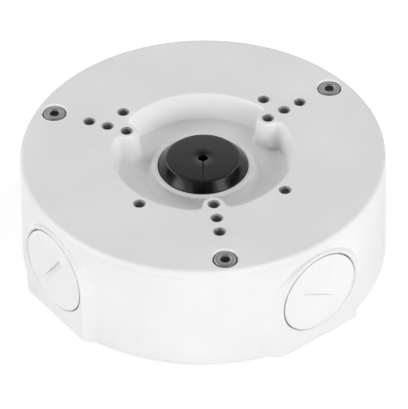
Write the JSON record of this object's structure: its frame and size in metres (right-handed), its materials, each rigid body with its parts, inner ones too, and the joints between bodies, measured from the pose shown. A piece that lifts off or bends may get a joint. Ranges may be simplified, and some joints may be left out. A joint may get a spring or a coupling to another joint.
{
  "type": "camera junction box",
  "caption": "Round cast wall box for a security camera: drafted base with plugged side entries, screwed cover with a recess, tapped camera holes and a rubber lead grommet.",
  "frame": {"origin": "centre of the wall face, where the axis of the rear cable entry meets the wall", "axes": "+Z out of the wall through the cover, +X through one side entry, -Y through the next and -X through the third; one cover screw lies on +Y"},
  "size_m": [0.1244, 0.1242, 0.039],
  "materials": {
    "coated_casting": "satin",
    "coated_plug": "satin",
    "black_rubber": "matte",
    "grey_silicone": "matte",
    "stainless_steel": "satin"
  },
  "bodies": {
    "housing": {"base_housing": "coated_casting", "cover": "coated_casting", "cover_seal": "grey_silicone", "cable_grommet": "black_rubber", "cover_screw_1": "stainless_steel", "cover_screw_2": "stainless_steel", "cover_screw_3": "stainless_steel", "screw_ring_1": "black_rubber", "screw_ring_2": "black_rubber", "screw_ring_3": "black_rubber"},
    "seal_right": {"plug_seal_right": "black_rubber"},
    "plug_right": {"side_plug_right": "coated_plug"},
    "seal_front": {"plug_seal_front": "black_rubber"},
    "plug_front": {"side_plug_front": "coated_plug"},
    "seal_left": {"plug_seal_left": "black_rubber"},
    "plug_left": {"side_plug_left": "coated_plug"}
  },
  "joints": [
    {"name": "plug_right_travel", "type": "slide", "parent": "housing", "child": "seal_right", "axis": [1, 0, 0], "range_m": [0, 0.00726]},
    {"name": "plug_right_turn", "type": "hinge", "parent": "seal_right", "child": "plug_right", "pos_m": [0.058, 0, 0.0195], "axis": [1, 0, 0], "range_deg": [0, 1440]},
    {"name": "plug_front_travel", "type": "slide", "parent": "housing", "child": "seal_front", "axis": [0, -1, 0], "range_m": [0, 0.00726]},
    {"name": "plug_front_turn", "type": "hinge", "parent": "seal_front", "child": "plug_front", "pos_m": [0, -0.058, 0.0195], "axis": [0, -1, 0], "range_deg": [0, 1440]},
    {"name": "plug_left_travel", "type": "slide", "parent": "housing", "child": "seal_left", "axis": [-1, 0, 0], "range_m": [0, 0.00726]},
    {"name": "plug_left_turn", "type": "hinge", "parent": "seal_left", "child": "plug_left", "pos_m": [-0.058, 0, 0.0195], "axis": [-1, 0, 0], "range_deg": [0, 1440]}
  ],
  "couplings": [
    {"joint": "plug_right_travel", "follows": "plug_right_turn", "m_per_rad": 0.00028871},
    {"joint": "plug_front_travel", "follows": "plug_front_turn", "m_per_rad": 0.00028871},
    {"joint": "plug_left_travel", "follows": "plug_left_turn", "m_per_rad": 0.00028871}
  ]
}
